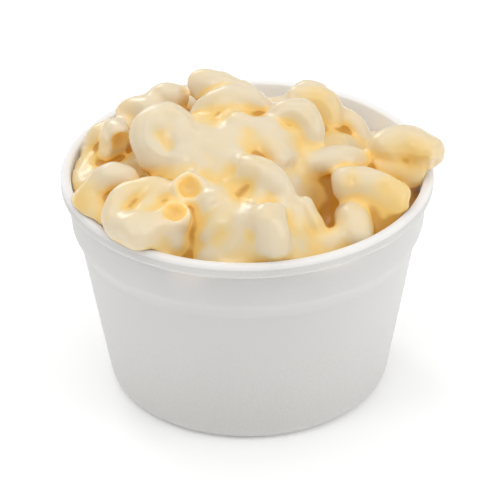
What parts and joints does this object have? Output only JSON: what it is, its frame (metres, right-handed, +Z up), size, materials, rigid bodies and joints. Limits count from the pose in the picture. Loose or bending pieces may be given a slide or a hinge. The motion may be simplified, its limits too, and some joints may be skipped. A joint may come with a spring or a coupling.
{
  "type": "mac and cheese in a foam bowl",
  "caption": "Elbow macaroni in thick cheese sauce, heaped above the lip of a round white foam bowl that stands on its flat base.",
  "frame": {"origin": "middle of the bowl's flat underside", "axes": "+Z up along the bowl's axis; -Y is the side the heap is looked at from; +X to the right from there"},
  "size_m": [0.1204, 0.117, 0.0969],
  "materials": {
    "foam": "moulded bead foam, off-white, matt, faint bead pattern",
    "sauced_macaroni": "cooked pasta under creamy cheese sauce, ivory, warm ochre in the hollows, soft sheen"
  },
  "bodies": {
    "root": {"foam_bowl": "foam", "mac_heap": "sauced_macaroni"}
  },
  "joints": []
}
